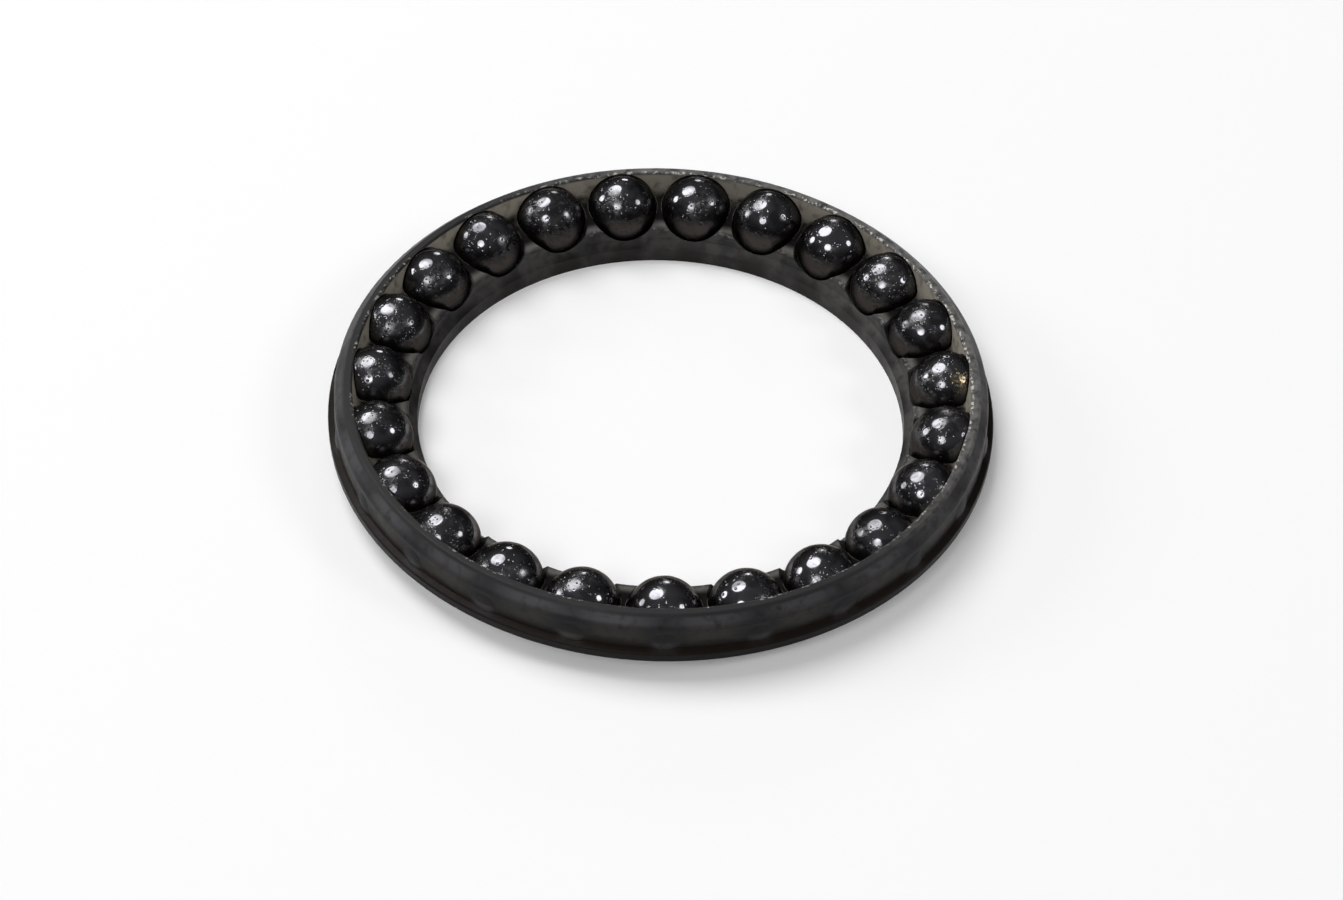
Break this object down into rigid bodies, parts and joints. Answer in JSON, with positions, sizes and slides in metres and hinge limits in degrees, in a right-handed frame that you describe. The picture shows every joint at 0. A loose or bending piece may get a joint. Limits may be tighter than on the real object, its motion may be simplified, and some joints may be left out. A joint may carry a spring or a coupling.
{
  "type": "thrust ball bearing cage",
  "caption": "Ball and cage ring of a small angular-contact thrust bearing: a one-piece translucent plastic cage that snaps round a full row of loose-turning steel balls",
  "frame": {"origin": "centre of the cage's flat bottom face, on the ring's axis", "axes": "+Z is the ring's axis and points to the side where the balls stand out of the cage toward the axis; +X passes through the centre of ball_01; the balls are numbered counter-clockwise seen from +Z"},
  "size_m": [0.0364, 0.0364, 0.004],
  "materials": {
    "cage": "translucent smoke-grey moulded nylon with an olive tint and a film of dark grease",
    "ball": "polished bearing steel, dark and mirror-like, with fine specks of dirt"
  },
  "bodies": {
    "cage": {"cage": "cage"},
    "ball_01": {"ball_01": "ball"},
    "ball_02": {"ball_02": "ball"},
    "ball_03": {"ball_03": "ball"},
    "ball_04": {"ball_04": "ball"},
    "ball_05": {"ball_05": "ball"},
    "ball_06": {"ball_06": "ball"},
    "ball_07": {"ball_07": "ball"},
    "ball_08": {"ball_08": "ball"},
    "ball_09": {"ball_09": "ball"},
    "ball_10": {"ball_10": "ball"},
    "ball_11": {"ball_11": "ball"},
    "ball_12": {"ball_12": "ball"},
    "ball_13": {"ball_13": "ball"},
    "ball_14": {"ball_14": "ball"},
    "ball_15": {"ball_15": "ball"},
    "ball_16": {"ball_16": "ball"},
    "ball_17": {"ball_17": "ball"},
    "ball_18": {"ball_18": "ball"},
    "ball_19": {"ball_19": "ball"},
    "ball_20": {"ball_20": "ball"},
    "ball_21": {"ball_21": "ball"},
    "ball_22": {"ball_22": "ball"},
    "ball_23": {"ball_23": "ball"}
  },
  "joints": [
    {"name": "ball_01_roll", "type": "hinge", "parent": "cage", "child": "ball_01", "pos_m": [0.01575, 0, 0.002], "axis": [0.7071, 0, 0.7071], "continuous": true},
    {"name": "ball_02_roll", "type": "hinge", "parent": "cage", "child": "ball_02", "pos_m": [0.01517, 0.00425, 0.002], "axis": [0.6809, 0.1908, 0.7071], "continuous": true},
    {"name": "ball_03_roll", "type": "hinge", "parent": "cage", "child": "ball_03", "pos_m": [0.01346, 0.00818, 0.002], "axis": [0.6042, 0.3674, 0.7071], "continuous": true},
    {"name": "ball_04_roll", "type": "hinge", "parent": "cage", "child": "ball_04", "pos_m": [0.01075, 0.01151, 0.002], "axis": [0.4826, 0.5168, 0.7071], "continuous": true},
    {"name": "ball_05_roll", "type": "hinge", "parent": "cage", "child": "ball_05", "pos_m": [0.00725, 0.01398, 0.002], "axis": [0.3253, 0.6278, 0.7071], "continuous": true},
    {"name": "ball_06_roll", "type": "hinge", "parent": "cage", "child": "ball_06", "pos_m": [0.0032, 0.01542, 0.002], "axis": [0.1439, 0.6923, 0.7071], "continuous": true},
    {"name": "ball_07_roll", "type": "hinge", "parent": "cage", "child": "ball_07", "pos_m": [-0.00107, 0.01571, 0.002], "axis": [-0.0483, 0.7055, 0.7071], "continuous": true},
    {"name": "ball_08_roll", "type": "hinge", "parent": "cage", "child": "ball_08", "pos_m": [-0.00527, 0.01484, 0.002], "axis": [-0.2368, 0.6663, 0.7071], "continuous": true},
    {"name": "ball_09_roll", "type": "hinge", "parent": "cage", "child": "ball_09", "pos_m": [-0.00908, 0.01287, 0.002], "axis": [-0.4078, 0.5777, 0.7071], "continuous": true},
    {"name": "ball_10_roll", "type": "hinge", "parent": "cage", "child": "ball_10", "pos_m": [-0.01222, 0.00994, 0.002], "axis": [-0.5485, 0.4462, 0.7071], "continuous": true},
    {"name": "ball_11_roll", "type": "hinge", "parent": "cage", "child": "ball_11", "pos_m": [-0.01445, 0.00627, 0.002], "axis": [-0.6486, 0.2817, 0.7071], "continuous": true},
    {"name": "ball_12_roll", "type": "hinge", "parent": "cage", "child": "ball_12", "pos_m": [-0.0156, 0.00214, 0.002], "axis": [-0.7005, 0.0963, 0.7071], "continuous": true},
    {"name": "ball_13_roll", "type": "hinge", "parent": "cage", "child": "ball_13", "pos_m": [-0.0156, -0.00214, 0.002], "axis": [-0.7005, -0.0963, 0.7071], "continuous": true},
    {"name": "ball_14_roll", "type": "hinge", "parent": "cage", "child": "ball_14", "pos_m": [-0.01445, -0.00627, 0.002], "axis": [-0.6486, -0.2817, 0.7071], "continuous": true},
    {"name": "ball_15_roll", "type": "hinge", "parent": "cage", "child": "ball_15", "pos_m": [-0.01222, -0.00994, 0.002], "axis": [-0.5485, -0.4462, 0.7071], "continuous": true},
    {"name": "ball_16_roll", "type": "hinge", "parent": "cage", "child": "ball_16", "pos_m": [-0.00908, -0.01287, 0.002], "axis": [-0.4078, -0.5777, 0.7071], "continuous": true},
    {"name": "ball_17_roll", "type": "hinge", "parent": "cage", "child": "ball_17", "pos_m": [-0.00527, -0.01484, 0.002], "axis": [-0.2368, -0.6663, 0.7071], "continuous": true},
    {"name": "ball_18_roll", "type": "hinge", "parent": "cage", "child": "ball_18", "pos_m": [-0.00107, -0.01571, 0.002], "axis": [-0.0483, -0.7055, 0.7071], "continuous": true},
    {"name": "ball_19_roll", "type": "hinge", "parent": "cage", "child": "ball_19", "pos_m": [0.0032, -0.01542, 0.002], "axis": [0.1439, -0.6923, 0.7071], "continuous": true},
    {"name": "ball_20_roll", "type": "hinge", "parent": "cage", "child": "ball_20", "pos_m": [0.00725, -0.01398, 0.002], "axis": [0.3253, -0.6278, 0.7071], "continuous": true},
    {"name": "ball_21_roll", "type": "hinge", "parent": "cage", "child": "ball_21", "pos_m": [0.01075, -0.01151, 0.002], "axis": [0.4826, -0.5168, 0.7071], "continuous": true},
    {"name": "ball_22_roll", "type": "hinge", "parent": "cage", "child": "ball_22", "pos_m": [0.01346, -0.00818, 0.002], "axis": [0.6042, -0.3674, 0.7071], "continuous": true},
    {"name": "ball_23_roll", "type": "hinge", "parent": "cage", "child": "ball_23", "pos_m": [0.01517, -0.00425, 0.002], "axis": [0.6809, -0.1908, 0.7071], "continuous": true}
  ]
}
